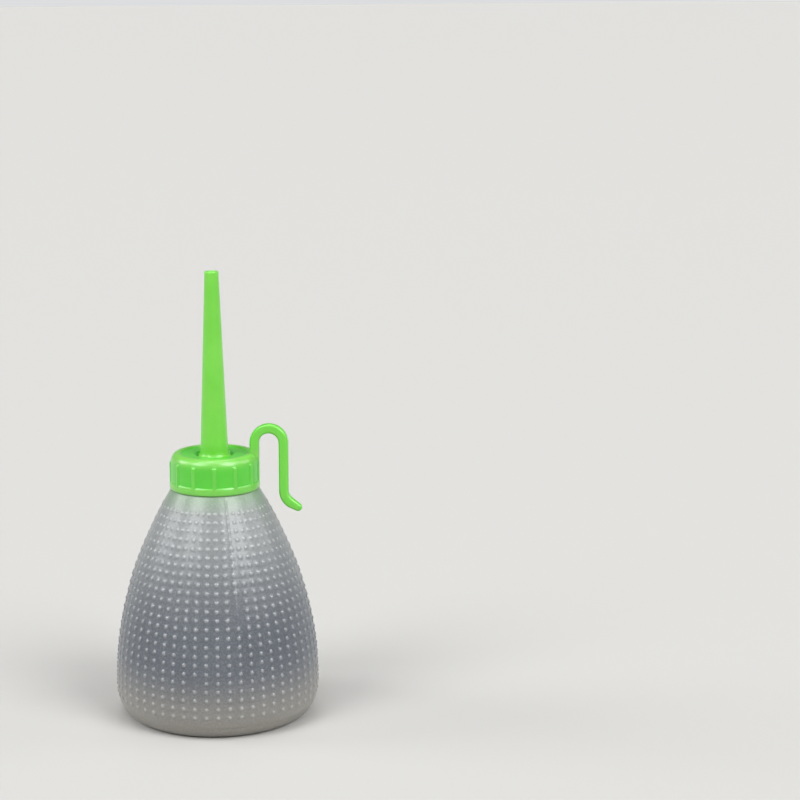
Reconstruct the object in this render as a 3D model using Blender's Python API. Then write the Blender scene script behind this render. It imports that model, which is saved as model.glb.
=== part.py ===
"""Squeeze wash bottle: soft bottle, ribbed screw cap with a moulded hook, long tapered spout and washer.

Metres, +Z up. The origin is the centre of the base, in the plane that the bottle stands on.
The bottle's axis is +Z and the hook lies towards +X. The screw cap is done up tight.
"""

import math

import bmesh
import bpy
from mathutils import Matrix, Vector

MM = 0.001
GAP = 0.3 * MM  # clearance between pieces that touch

# Bottle: belly, shoulder and base
BELLY_RADIUS = 37.5 * MM
BELLY_HEIGHT = 12.0 * MM
SHOULDER_RADIUS = 16.2 * MM
SHOULDER_HEIGHT = 85.0 * MM
STANDING_RING_OUTER = 31.2 * MM
STANDING_RING_WIDTH = 2.4 * MM
PUSH_UP = 1.8 * MM
WALL = 1.0 * MM

# Neck and its screw thread: a 28 mm continuous-thread finish of six turns to the inch
NECK_RADIUS = 12.65 * MM
NECK_BORE_RADIUS = 10.75 * MM
NECK_LIP_HEIGHT = 92.5 * MM
THREAD_PITCH = 25.4 / 6 * MM
THREAD_CREST_RADIUS = 13.65 * MM
THREAD_TURNS = 1.0
THREAD_ROOT_HALF_WIDTH = 0.75 * MM
THREAD_CREST_HALF_WIDTH = 0.4 * MM
NECK_THREAD_START_HEIGHT = 87.1 * MM
THREAD_ROOTING = 0.5 * MM  # how far a ridge reaches into the wall that carries it

# Screw cap
CAP_BOTTOM = 85.7 * MM
CAP_TOP = 98.4 * MM
CAP_RADIUS = 16.15 * MM
BEAD_RADIUS = 16.65 * MM
BEAD_HEIGHT = 2.4 * MM
CAP_SHOULDER_HEIGHT = 3.7 * MM
CAP_SHOULDER_WIDTH = 2.6 * MM
CAP_BORE_RADIUS = 14.0 * MM
DISH_EDGE_RADIUS = 12.4 * MM
DISH_DEPTH = 0.6 * MM
RECESS_RADIUS = 7.4 * MM
RECESS_FLOOR = 96.4 * MM
PLATE_UNDERSIDE = 95.2 * MM
RIB_PLACES = 13  # twelve ribs and the hook share these equal places
RIB_HALF_WIDTH = 0.85 * MM
RIB_PROUD = 0.3 * MM
RIB_TOP = 95.6 * MM

# Hook, moulded on the cap: up from the rim, over an arch, down beside the cap, then out
HOOK_WIDTH = 3.5 * MM
HOOK_FOOT_X = 14.8 * MM
HOOK_FOOT_Z = 96.6 * MM
HOOK_ROOT_Z = 94.6 * MM  # below this the foot runs down the skirt as a rib, level with the bead
HOOK_RIB_DEPTH = 2.2 * MM
HOOK_ARCH_RADIUS = 5.35 * MM
HOOK_ARCH_CENTRE_Z = 102.0 * MM
HOOK_CURL_TOP_Z = 84.2 * MM
HOOK_CURL_RADIUS = 5.5 * MM
HOOK_CURL_ANGLE = math.radians(58)
HOOK_TAIL_LENGTH = 3.2 * MM
HOOK_TAIL_TAPER = 0.8
HOOK_CORNER = 0.9 * MM

# Spout
SPOUT_TIP_HEIGHT = 165.0 * MM
SPOUT_TIP_RADIUS = 2.6 * MM
SPOUT_TIP_BORE = 1.4 * MM
SPOUT_ROOT_RADIUS = 5.1 * MM
SPOUT_ROOT_HEIGHT = 99.6 * MM
SPOUT_ROOT_BORE = 4.0 * MM
SPOUT_SHANK_RADIUS = 5.0 * MM
SPOUT_FLARE_RADIUS = 6.0 * MM
FLANGE_RADIUS = 12.4 * MM
FLANGE_THICKNESS = 1.0 * MM

# Sealing washer
WASHER_THICKNESS = 0.8 * MM
WASHER_INNER_RADIUS = 9.6 * MM

# Small roundings
CHAMFER = 0.4 * MM
FILLET = 1.0 * MM

BODY_SEGMENTS = 48
SMALL_SEGMENTS = 32
ARC_STEPS = 7
SHARP_ANGLE = math.radians(40)


def clear_scene():
    for obj in list(bpy.data.objects):
        bpy.data.objects.remove(obj)


def material(name, colour, roughness, alpha=1.0):
    mat = bpy.data.materials.new(name)
    mat.use_nodes = True
    shader = mat.node_tree.nodes["Principled BSDF"]
    shader.inputs["Base Color"].default_value = (*colour, 1.0)
    shader.inputs["Roughness"].default_value = roughness
    shader.inputs["Metallic"].default_value = 0.0
    shader.inputs["Alpha"].default_value = alpha
    return mat


def finish_mesh(name, bm, mat=None):
    """Turns the bmesh into an object with outward faces and smooth shading between its sharp edges."""
    bmesh.ops.recalc_face_normals(bm, faces=bm.faces)
    mesh = bpy.data.meshes.new(name)
    bm.to_mesh(mesh)
    bm.free()
    mesh.shade_smooth()
    mesh.set_sharp_from_angle(angle=SHARP_ANGLE)
    obj = bpy.data.objects.new(name, mesh)
    if mat:
        mesh.materials.append(mat)
    bpy.context.collection.objects.link(obj)
    return obj


def lathe(name, outline, segments, mat=None):
    """Turns an outline of (radius, height) points about the Z axis.

    The outline closes on itself, unless its two ends lie on the axis.
    """
    bm = bmesh.new()
    verts = [bm.verts.new((radius, 0, height)) for radius, height in outline]
    edges = [bm.edges.new(pair) for pair in zip(verts, verts[1:])]
    if outline[0][0] > 0:
        edges.append(bm.edges.new((verts[-1], verts[0])))
    bmesh.ops.spin(
        bm,
        geom=verts + edges,
        cent=(0, 0, 0),
        axis=(0, 0, 1),
        angle=2 * math.pi,
        steps=segments,
    )
    bmesh.ops.remove_doubles(bm, verts=bm.verts, dist=0.001 * MM)
    return finish_mesh(name, bm, mat)


def arc(centre, radii, start, end, steps=ARC_STEPS):
    """Points on an arc of an ellipse, from the start angle to the end angle, both in degrees."""
    points = []
    for step in range(steps + 1):
        angle = math.radians(start + (end - start) * step / steps)
        points.append((centre[0] + radii[0] * math.cos(angle), centre[1] + radii[1] * math.sin(angle)))
    return points


def join_to(obj, other):
    """Unites the other shape with obj by a Boolean. The other shape stays as a hidden guide."""
    boolean = obj.modifiers.new(other.name, "BOOLEAN")
    boolean.operation = "UNION"
    boolean.solver = "EXACT"
    boolean.object = other
    other.hide_render = True
    other.display_type = "WIRE"


def thread_ridge(name, start_height, root_radius, crest_radius, start_angle=0.0):
    """One right-handed helical ridge. Both ends run out to nothing over an eighth of a turn."""
    steps = int(BODY_SEGMENTS * THREAD_TURNS)
    run_out = BODY_SEGMENTS // 8
    bm = bmesh.new()
    rings = []
    for step in range(steps + 1):
        turn = THREAD_TURNS * step / steps
        fullness = max(0.12, min(1.0, step / run_out, (steps - step) / run_out))
        angle = start_angle + 2 * math.pi * turn
        height = start_height + THREAD_PITCH * turn
        crest = root_radius + (crest_radius - root_radius) * fullness
        section = [
            (root_radius, -THREAD_ROOT_HALF_WIDTH * fullness),
            (crest, -THREAD_CREST_HALF_WIDTH * fullness),
            (crest, THREAD_CREST_HALF_WIDTH * fullness),
            (root_radius, THREAD_ROOT_HALF_WIDTH * fullness),
        ]
        rings.append(
            [
                bm.verts.new((radius * math.cos(angle), radius * math.sin(angle), height + rise))
                for radius, rise in section
            ]
        )
    skin_rings(bm, rings)
    return finish_mesh(name, bm)


def skin_rings(bm, rings):
    """Joins each ring of points to the next, and caps the first and the last."""
    for near, far in zip(rings, rings[1:]):
        for i in range(len(near)):
            j = (i + 1) % len(near)
            bm.faces.new((near[i], near[j], far[j], far[i]))
    bm.faces.new(rings[0])
    bm.faces.new(reversed(rings[-1]))


def belly(height, inset=0.0):
    """A point of the bottle's side, a parabola from belly to shoulder, moved inwards by the inset."""
    reach = SHOULDER_HEIGHT - BELLY_HEIGHT
    narrowing = BELLY_RADIUS - SHOULDER_RADIUS
    rise = (height - BELLY_HEIGHT) / reach
    lean = math.atan(2 * narrowing * rise / reach)
    return (
        BELLY_RADIUS - narrowing * rise**2 - inset * math.cos(lean),
        height - inset * math.sin(lean),
    )


def make_bottle(mat):
    ring_inner = STANDING_RING_OUTER - STANDING_RING_WIDTH
    corner = (BELLY_RADIUS - STANDING_RING_OUTER, BELLY_HEIGHT)
    side_steps = 10
    side_rise = (SHOULDER_HEIGHT - BELLY_HEIGHT) / side_steps
    side = [BELLY_HEIGHT + side_rise * (i + 1) for i in range(side_steps)]
    deck = SHOULDER_HEIGHT + CHAMFER  # level just under the cap
    dome = (0.6 * ring_inner, 0.75 * PUSH_UP)

    outside = [(0, PUSH_UP), dome, (ring_inner - FILLET, 0.2 * PUSH_UP), (ring_inner, 0)]
    outside += arc((STANDING_RING_OUTER, BELLY_HEIGHT), corner, -90, 0)
    outside += [belly(z) for z in side]
    outside += [(SHOULDER_RADIUS - FILLET, deck), (NECK_RADIUS + CHAMFER, deck)]
    outside += [(NECK_RADIUS, deck + CHAMFER), (NECK_RADIUS, NECK_LIP_HEIGHT)]

    neck_root = deck - WALL
    inside = [(NECK_BORE_RADIUS, NECK_LIP_HEIGHT), (NECK_BORE_RADIUS, neck_root)]
    inside += [belly(z, WALL) for z in reversed(side[:-1])]
    inner_corner = (corner[0] - WALL, corner[1] - WALL)
    inside += arc((STANDING_RING_OUTER, BELLY_HEIGHT), inner_corner, 0, -90)
    inside += [(ring_inner, WALL), (dome[0], dome[1] + WALL), (0, PUSH_UP + WALL)]

    bottle = lathe("bottle", outside + inside, BODY_SEGMENTS, mat)
    root = NECK_RADIUS - THREAD_ROOTING
    join_to(bottle, thread_ridge("neck_thread_guide", NECK_THREAD_START_HEIGHT, root, THREAD_CREST_RADIUS))


def make_ribs():
    """Shallow upright half-round ribs, in one mesh, left out where the hook stands."""
    bm = bmesh.new()
    bottom = CAP_BOTTOM + 0.5 * BEAD_HEIGHT
    heights = ((bottom, 1.0), (RIB_TOP - 2 * MM, 1.0), (RIB_TOP - 0.6 * MM, 0.7), (RIB_TOP, 0.15))
    depth = 1.0 * MM
    for place in range(1, RIB_PLACES):
        angle = 2 * math.pi * place / RIB_PLACES
        turn = Matrix.Rotation(angle, 4, "Z")
        rings = []
        for height, size in heights:
            section = [Vector((CAP_RADIUS - depth, RIB_HALF_WIDTH, height))]
            for across, out in reversed(arc((0, 0), (RIB_HALF_WIDTH * size, RIB_PROUD * size), 0, 180, 6)):
                section.append(Vector((CAP_RADIUS - 0.1 * MM + out, -across, height)))
            section.append(Vector((CAP_RADIUS - depth, -RIB_HALF_WIDTH, height)))
            rings.append([bm.verts.new(turn @ point) for point in section])
        skin_rings(bm, rings)
    return finish_mesh("rib_guide", bm)


def hook_path():
    """The hook's centreline in the XZ plane: points, each with the rod's width there and depth along Y."""
    arch_x = HOOK_FOOT_X + HOOK_ARCH_RADIUS
    curl_x = arch_x + HOOK_ARCH_RADIUS + HOOK_CURL_RADIUS
    curl_end = 180 + math.degrees(HOOK_CURL_ANGLE)
    path = [(HOOK_FOOT_X, HOOK_FOOT_Z)]
    path += arc((arch_x, HOOK_ARCH_CENTRE_Z), (HOOK_ARCH_RADIUS, HOOK_ARCH_RADIUS), 180, 0, 14)
    path += arc((curl_x, HOOK_CURL_TOP_Z), (HOOK_CURL_RADIUS, HOOK_CURL_RADIUS), 180, curl_end, 6)
    end = Vector(path[-1])
    way = Vector((math.sin(HOOK_CURL_ANGLE), -math.cos(HOOK_CURL_ANGLE)))
    rib_x = HOOK_FOOT_X + (HOOK_WIDTH - HOOK_RIB_DEPTH) / 2
    rib_heights = (CAP_BOTTOM + 0.6 * BEAD_HEIGHT, HOOK_ROOT_Z)
    points = [(Vector((rib_x, height)), HOOK_RIB_DEPTH, HOOK_WIDTH) for height in rib_heights]
    points += [(Vector(point), HOOK_WIDTH, HOOK_WIDTH) for point in path]
    tail_width = HOOK_WIDTH * HOOK_TAIL_TAPER
    points.append((end + way * HOOK_TAIL_LENGTH, tail_width, tail_width))
    for angle in (30, 60, 80):  # rounded tip
        reach = math.sin(math.radians(angle)) * tail_width / 2
        tip_width = tail_width * math.cos(math.radians(angle))
        points.append((end + way * (HOOK_TAIL_LENGTH + reach), tip_width, tip_width))
    return points


def rod_section(width, depth):
    """A rectangle with rounded corners, as (sideways, along Y) points."""
    corner = min(HOOK_CORNER, 0.45 * min(width, depth))
    across = width / 2 - corner
    along = depth / 2 - corner
    section = []
    for quarter, (sx, sy) in enumerate(((1, 1), (-1, 1), (-1, -1), (1, -1))):
        section += arc((sx * across, sy * along), (corner, corner), 90 * quarter, 90 * quarter + 90, 3)
    return section


def make_hook():
    points = hook_path()
    bm = bmesh.new()
    rings = []
    for i, (centre, width, depth) in enumerate(points):
        before = points[max(i - 1, 0)][0]
        after = points[min(i + 1, len(points) - 1)][0]
        way = (after - before).normalized()
        side = Vector((way.y, -way.x))
        rings.append(
            [
                bm.verts.new((centre.x + side.x * a, b, centre.y + side.y * a))
                for a, b in rod_section(width, depth)
            ]
        )
    skin_rings(bm, rings)
    return finish_mesh("hook_guide", bm)


def make_screw_cap(mat):
    bead_top = CAP_BOTTOM + BEAD_HEIGHT
    bead = (BEAD_RADIUS - CAP_RADIUS, BEAD_HEIGHT / 2)
    hole_radius = SPOUT_SHANK_RADIUS + GAP
    shoulder_centre = (CAP_RADIUS - CAP_SHOULDER_WIDTH, CAP_TOP - CAP_SHOULDER_HEIGHT)
    dish_floor = CAP_TOP - DISH_DEPTH

    outline = arc((CAP_RADIUS, CAP_BOTTOM + BEAD_HEIGHT / 2), bead, -90, 90, 6)
    outline += [(CAP_RADIUS, bead_top + CHAMFER)]
    outline += arc(shoulder_centre, (CAP_SHOULDER_WIDTH, CAP_SHOULDER_HEIGHT), 0, 90)
    outline += [(DISH_EDGE_RADIUS, dish_floor), (RECESS_RADIUS + CHAMFER, dish_floor)]
    outline += [(RECESS_RADIUS, dish_floor - CHAMFER), (RECESS_RADIUS, RECESS_FLOOR)]
    outline += [(hole_radius, RECESS_FLOOR), (hole_radius, PLATE_UNDERSIDE)]
    outline += [(CAP_BORE_RADIUS, PLATE_UNDERSIDE), (CAP_BORE_RADIUS, CAP_BOTTOM)]

    cap = lathe("screw_cap", outline, BODY_SEGMENTS, mat)
    # The cap's ridge lies just below the neck's, which pulls the cap down when it is tight.
    drop = THREAD_ROOT_HALF_WIDTH + THREAD_CREST_HALF_WIDTH + 0.5 * GAP
    quarter_rise = THREAD_PITCH / 4
    ridge = thread_ridge(
        "cap_thread_guide",
        NECK_THREAD_START_HEIGHT - drop + quarter_rise,
        CAP_BORE_RADIUS + THREAD_ROOTING,
        NECK_RADIUS + GAP,
        math.pi / 2,
    )
    join_to(cap, ridge)
    join_to(cap, make_ribs())
    join_to(cap, make_hook())


def make_spout(mat):
    flange_top = PLATE_UNDERSIDE - GAP
    flange_bottom = flange_top - FLANGE_THICKNESS
    flare_bottom = RECESS_FLOOR + GAP
    tip_round = 0.25 * MM
    outline = [(SPOUT_TIP_BORE, SPOUT_TIP_HEIGHT), (SPOUT_TIP_RADIUS - tip_round, SPOUT_TIP_HEIGHT)]
    outline += [(SPOUT_TIP_RADIUS, SPOUT_TIP_HEIGHT - tip_round)]
    outline += [(SPOUT_ROOT_RADIUS, SPOUT_ROOT_HEIGHT)]
    outline += [(SPOUT_ROOT_RADIUS + 0.25 * MM, SPOUT_ROOT_HEIGHT - 1.4 * MM)]
    outline += [(SPOUT_FLARE_RADIUS, flare_bottom + 0.5 * MM), (SPOUT_FLARE_RADIUS, flare_bottom)]
    outline += [(SPOUT_SHANK_RADIUS, flare_bottom), (SPOUT_SHANK_RADIUS, flange_top)]
    outline += [(FLANGE_RADIUS, flange_top), (FLANGE_RADIUS, flange_bottom)]
    outline += [(SPOUT_ROOT_BORE, flange_bottom)]
    lathe("spout", outline, SMALL_SEGMENTS, mat)


def make_sealing_washer(mat):
    top = PLATE_UNDERSIDE - 2 * GAP - FLANGE_THICKNESS
    bottom = top - WASHER_THICKNESS
    outline = [
        (WASHER_INNER_RADIUS, top),
        (FLANGE_RADIUS, top),
        (FLANGE_RADIUS, bottom),
        (WASHER_INNER_RADIUS, bottom),
    ]
    lathe("sealing_washer", outline, SMALL_SEGMENTS, mat)


clear_scene()
make_bottle(material("milky_polythene", (0.62, 0.66, 0.66), 0.38, 0.6))
make_screw_cap(material("green_cap_plastic", (0.14, 0.66, 0.06), 0.35))
make_spout(material("green_spout_plastic", (0.22, 0.72, 0.11), 0.4))
make_sealing_washer(material("washer_rubber", (0.8, 0.8, 0.78), 0.6))
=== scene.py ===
"""Looks of the squeeze wash bottle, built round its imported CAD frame. Metres, +Z up, hook towards +X."""

import math

import bmesh
import bpy
import numpy as np
from mathutils import Euler, Matrix, Vector


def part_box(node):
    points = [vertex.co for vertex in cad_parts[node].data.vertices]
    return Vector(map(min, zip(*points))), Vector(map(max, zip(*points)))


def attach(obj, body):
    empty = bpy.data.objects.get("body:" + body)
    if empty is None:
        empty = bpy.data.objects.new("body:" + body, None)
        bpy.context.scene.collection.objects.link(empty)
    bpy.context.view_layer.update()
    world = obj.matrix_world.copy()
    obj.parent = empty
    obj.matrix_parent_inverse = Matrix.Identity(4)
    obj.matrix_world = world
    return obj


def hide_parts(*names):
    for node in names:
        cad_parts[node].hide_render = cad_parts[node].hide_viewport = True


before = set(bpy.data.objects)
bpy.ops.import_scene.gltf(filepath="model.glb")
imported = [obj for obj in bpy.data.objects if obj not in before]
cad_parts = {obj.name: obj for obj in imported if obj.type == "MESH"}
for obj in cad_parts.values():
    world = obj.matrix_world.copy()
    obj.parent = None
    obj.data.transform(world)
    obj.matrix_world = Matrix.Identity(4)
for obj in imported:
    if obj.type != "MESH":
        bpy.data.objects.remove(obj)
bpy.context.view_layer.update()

MM = 0.001
FULL_TURN = 2 * math.pi

# Sizes that the frame gives
BOTTLE_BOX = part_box("bottle")
SPOUT_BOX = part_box("spout")
WASHER_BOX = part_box("sealing_washer")
BELLY_RADIUS = BOTTLE_BOX[1].x
NECK_LIP_HEIGHT = BOTTLE_BOX[1].z
SPOUT_TIP_HEIGHT = SPOUT_BOX[1].z
FLANGE_RADIUS = SPOUT_BOX[1].x

# Bottle
BELLY_HEIGHT = 12.0 * MM
SHOULDER_RADIUS = 16.2 * MM
SHOULDER_HEIGHT = 85.0 * MM
SHOULDER_BEND = 1.2 * MM  # how far below the shoulder the side stops being a parabola
SHOULDER_ROUNDING = 0.5 * MM
DECK_RADIUS = 15.4 * MM  # outer edge of the flat ring under the cap
DECK_HEIGHT = 85.4 * MM
STANDING_RING_OUTER = 31.2 * MM
STANDING_RING_INNER = 28.8 * MM
STANDING_RING_BEVEL = 0.6 * MM  # how far in the flat of the standing ring ends
BASE_ROUNDING = 0.9 * MM
PUSH_UP = 1.8 * MM
PUSH_UP_DISC = 3.0 * MM  # the flat middle of the push-up base
MOULD_STEP = 0.1 * MM  # faint rings that the mould's base leaves
MOULD_STEP_WIDTH = 0.4 * MM
MOULD_STEP_HEIGHTS = (1.6 * MM, 4.4 * MM)
WALL = 1.0 * MM
NECK_RADIUS = 12.65 * MM
NECK_BORE_RADIUS = 10.75 * MM
NECK_LIP_ROUNDING = 0.4 * MM
NECK_THREAD_START = 87.1 * MM
NECK_CREST_RADIUS = 13.65 * MM

# The blown wall's slight waves: size in mm, waves round the bottle, radians per metre along its side, phase
WALL_WAVES = ((0.05, 3, 55, 0.0), (0.045, 5, -90, 1.3), (0.03, 9, 140, 4.0))
LEVEL_WAVE = (0.03, 230)  # size in mm and radians per metre of a nearly level wave

# Screw thread, the same on the neck and in the cap
THREAD_PITCH = 25.4 / 6 * MM
THREAD_ROOT_HALF = 0.66 * MM
THREAD_CREST_HALF = 0.4 * MM
THREAD_RUN_OUT = 0.125  # of a turn
THREAD_END_SHARE = 0.4  # how much of its width the ridge keeps at its ends
THREAD_CLEARANCE = 0.3 * MM  # between the cap's ridge and the neck

# Raised dots: upright columns in level rows, each dot in a cell of its own
DOT_COLUMNS = 56
DOT_ROWS = 24
DOT_ROW_PITCH = 3.2 * MM  # measured along the curved side
DOT_FIRST_HEIGHT = 9.0 * MM
DOT_COLUMN_ANGLE = math.radians(-82.4)  # where column 0 stands
DOT_COLUMN_PITCH = FULL_TURN / DOT_COLUMNS
DOT_RADIUS = 0.98 * MM
DOT_CELL_SHARE = 0.35  # the most of its cell's width that a dot's radius takes
DOT_PROUD = 0.38 * MM
DOT_PROUD_POWER = 0.6  # how strongly smaller dots are flatter
DOT_RADIUS_SPREAD = (0.93, 1.07)  # how far the dots vary from these sizes
DOT_PROUD_SPREAD = (0.85, 1.1)
DOT_SHIFT = 0.05 * MM  # how far a dot may stand off its place
DOT_SHIFTED_ROWS = 4  # rows at the top where the dots stand off twice as far
DOT_FADE_ROWS = (13, 20)  # between these rows the dots get flatter towards the neck
DOT_FADE = 0.5
DOT_SIDE_STEPS = 4  # mesh edges on each side of a dot's cell
DOT_RINGS = ((1.0, 0.0), (0.84, 0.16), (0.6, 0.56), (0.32, 0.88))  # shares of the radius and of the height
DOT_LOST = (4, -2)  # row and column of a missing dot

# The mould's parting line, which runs along a column of dots, and again opposite
SEAM_COLUMN = 2
SEAM_HALF_WIDTH = 0.16  # in columns
SEAM_PROUD = 0.22 * MM
SEAM_LOW_SHARE = 0.2  # of its height that the ridge keeps below the gap
SEAM_GAP_ROWS = (11, 12, 13)  # the parting line has swallowed these dots
SEAM_DOT_STRETCH = (1.1, 1.2)  # across and along, for the dots above the gap
SEAM_NEAR_ROWS = 6  # this many rows above the gap count as near it
SEAM_DOT_NEAR_PROUD = 1.15  # times the usual height
SEAM_DOT_FAR_PROUD = 0.6
# painted highlight along the parting line
SEAM_PAINTED_HIGHLIGHT = 0.6  # as a share of a dot's

# Fineness of the meshes
BASE_RING_SPACING = 0.2 * MM
NECK_RING_SPACING = 0.14 * MM
RIB_PLACE_SEGMENTS = 36
SPOUT_SEGMENTS = 128

# Screw cap
CAP_BOTTOM = 85.5 * MM
CAP_TOP = 98.4 * MM
CAP_RADIUS = 16.15 * MM
CAP_RIM_WIDTH = 0.85 * MM  # of the flat foot inside the bead
BEAD_RADIUS = 16.65 * MM
BEAD_HEIGHT = 2.6 * MM
BEAD_MIDDLE = CAP_BOTTOM + 0.25 * BEAD_HEIGHT
BEAD_LIP = 0.2 * MM  # how far the bead hangs below the rim of the bore
CAP_SHOULDER = (2.6 * MM, 3.7 * MM)  # width and height of the rounded edge
CAP_BORE_RADIUS = 14.0 * MM
CAP_BORE_BEVEL = 0.3 * MM
CAP_ROUNDING = 0.3 * MM  # of the dish, the recess and the hole
DISH_EDGE_RADIUS = 12.4 * MM
DISH_EDGE_HALF = 0.35 * MM  # half the width of the slope into the dish
DISH_DEPTH = 0.6 * MM
RECESS_TOP_RADIUS = 7.3 * MM
RECESS_FLOOR_RADIUS = 6.4 * MM
RECESS_FLOOR = 96.4 * MM
PLATE_UNDERSIDE = 95.2 * MM
CAP_HOLE_RADIUS = 5.3 * MM
CAP_THREAD_START = NECK_THREAD_START - 1.3 * MM + THREAD_PITCH / 4
RIB_PLACES = 13  # twelve ribs, and the hook in place 0
RIB_HALF_WIDTH = 1.15 * MM
RIB_PROUD = 0.45 * MM
RIB_FOOT = CAP_BOTTOM + 0.5 * BEAD_HEIGHT
RIB_TOP = 95.6 * MM
RIB_END = 0.5 * MM  # length of a rib's rounded upper end
RIB_REACH = 1.2 * MM  # how far in over the rounded edge a rib runs
RIB_LIFT = 0.35  # share of the rounded edge's fall that a rib makes up for

# Hook
HOOK_WIDTH = 3.5 * MM
HOOK_FOOT = (14.8 * MM, 96.6 * MM)
HOOK_FOOT_FLARE = 0.22  # extra share of the depth at the foot
HOOK_FLARE_HEIGHT = 3.5 * MM
HOOK_RIB_FOOT_Z = CAP_BOTTOM + 0.6 * BEAD_HEIGHT  # the hook runs down the skirt as a rib
HOOK_RIB_TOP_Z = 94.6 * MM
HOOK_RIB_DEPTH = 2.2 * MM
HOOK_ARCH_RADIUS = 5.35 * MM
HOOK_ARCH_Z = 102.0 * MM
HOOK_CURL_TOP_Z = 84.2 * MM
HOOK_CURL_RADIUS = 5.5 * MM
HOOK_CURL_ANGLE = math.radians(58)
HOOK_TAIL = 3.2 * MM
HOOK_TAIL_TAPER = 0.8
HOOK_CORNER = 0.9 * MM

# Spout
SPOUT_TIP_RADIUS = 2.6 * MM
SPOUT_TIP_BORE = 1.4 * MM
SPOUT_TIP_ROUNDING = 0.5 * MM
SPOUT_ROOT_RADIUS = 5.1 * MM
SPOUT_ROOT_HEIGHT = 99.6 * MM
SPOUT_ROOT_BORE = 4.0 * MM
SPOUT_SHANK_RADIUS = 5.0 * MM
SPOUT_FLARE_RADIUS = 6.0 * MM
SPOUT_FLARE_HEIGHT = 2.3 * MM
SPOUT_ROUNDING = 0.18 * MM
SPOUT_CLEARANCE = 0.3 * MM  # to the cap's plate, above it and below it

# Washer
WASHER_INNER_RADIUS = 9.6 * MM
WASHER_ROUNDING = 0.2 * MM

SHARP_EDGE = math.radians(40)  # edges sharper than this are not shaded smooth

# Colours of the milky wall, as linear red, green and blue
# painted shade: these two are darker than the milky plastic, for dark surroundings seen through the wall
WALL_DEEP = (0.074, 0.086, 0.106)
WALL_LIGHT = (0.096, 0.110, 0.131)
# painted light: the paler shade towards the neck stands for the lit upper wall
WALL_NECK_PAINTED_LIGHT = (0.235, 0.249, 0.251)
# painted reflection: the warm pale shade round the base stands for light from the floor
WALL_BASE_PAINTED_BOUNCE = (0.243, 0.230, 0.204)
# painted glow: the cap's green light seen through the wall under it
WALL_PAINTED_CAP_GLOW = (0.20, 0.37, 0.18)
# dots: paler partly for their thicker plastic and partly as a painted highlight
WALL_DOT_PALE_AND_HIGHLIGHT = (0.52, 0.53, 0.54)
WALL_FROST = (0.60, 0.61, 0.62)

# Heights over which the wall turns to its painted light and glow
NECK_PAINTED_LIGHT_HEIGHTS = (34 * MM, 82 * MM)
BASE_PAINTED_BOUNCE_HEIGHTS = (27 * MM, 3 * MM)
CAP_GLOW_HEIGHTS = (77 * MM, 87 * MM)

# How far surfaces turn to their special shades, as a share; all but the frost are painted light, the dots
# only partly
CAP_GLOW_SHARE = 0.66
DOT_PALE_AND_HIGHLIGHT = 0.36
FROST_SHADE = 0.12
# painted highlights on the cap's rounded rim, ribs and bead
RIM_HIGHLIGHT = 0.85
RIB_HIGHLIGHT = 0.4
BEAD_HIGHLIGHT = 0.7

# Where the hook's painted glow, light let through its thin plastic, takes over from the cap's colour
HOOK_GLOW_PLACES = (16.5 * MM, 19 * MM)
HOOK_GLOW_HEIGHTS = (CAP_TOP, CAP_TOP + 3.5 * MM)

# Colours of the other pieces
CAP_DEEP = (0.061, 0.55, 0.005)
CAP_LIGHT = (0.072, 0.585, 0.010)
# painted highlight colour for the cap's rim, ribs and bead
CAP_PAINTED_HIGHLIGHT = (0.19, 0.545, 0.07)
# painted glow: the hook's lighter colour stands for light let through its thin plastic
HOOK_PAINTED_GLOW = (0.14, 0.60, 0.030)
SPOUT_DEEP = (0.143, 0.59, 0.022)
SPOUT_LIGHT = (0.172, 0.625, 0.038)
WASHER_DEEP = (0.52, 0.52, 0.49)
WASHER_LIGHT = (0.62, 0.62, 0.59)
# The last number of these two is the alpha
FLOOR_COLOUR = (0.51, 0.504, 0.49, 1.0)
WORLD_COLOUR = (0.97, 0.985, 1.0, 1.0)

# Camera
CAMERA_PLACE = (100.5 * MM, -730.3 * MM, 260.1 * MM)
CAMERA_YAW = math.radians(4.9)
CAMERA_PITCH = math.radians(10.97)
CAMERA_ROLL = math.radians(-0.42)
CAMERA_LENS = 92.47
CAMERA_SHIFT = 0.1038

# Brightness of the surroundings
WORLD_ALL_ROUND = 0.12
WORLD_HORIZON = 0.62
WORLD_BEHIND = 0.12

# Far lights: name, way to the light, strength, how wide it looks in degrees
LIGHTS = (
    ("overhead", (0.05, 0.35, 1), 0.5, 28),
    ("top_light", (-0.13, -0.19, 0.97), 0.45, 20),
    ("front_light", (0.1, -0.85, 0.6), 0.2, 40),
    ("left_light", (-0.67, -0.74, 0.84), 1.4, 30),
    ("right_light", (0.80, -0.60, 0.84), 1.93, 34),
    ("left_high_light", (-0.42, -0.46, 1.5), 0.32, 26),
    ("right_high_light", (0.50, -0.38, 1.5), 0.32, 26),
    ("left_side_light", (-1.0, 0.04, 0.5), 0.85, 26),
    ("right_side_light", (0.98, 0.22, 0.5), 0.45, 26),
)

random = np.random.default_rng(7)


# ---------------------------------------------------------------- outlines


def arc(centre, radii, start, end, steps=12):
    """Points on an arc of an ellipse, from the start angle to the end angle, both in degrees."""
    angles = np.radians(np.linspace(start, end, steps + 1))
    return [(centre[0] + radii[0] * math.cos(a), centre[1] + radii[1] * math.sin(a)) for a in angles]


def line(start, end, step):
    """Evenly spaced points after the start, up to and with the end."""
    count = max(1, round(math.dist(start, end) / step))
    return [
        (start[0] + (end[0] - start[0]) * i / count, start[1] + (end[1] - start[1]) * i / count)
        for i in range(1, count + 1)
    ]


def path(corners, step):
    """A path through the corners, with points no further apart than about the step."""
    points = [corners[0]]
    for corner in corners[1:]:
        points += line(points[-1], corner, step)
    return points


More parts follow.
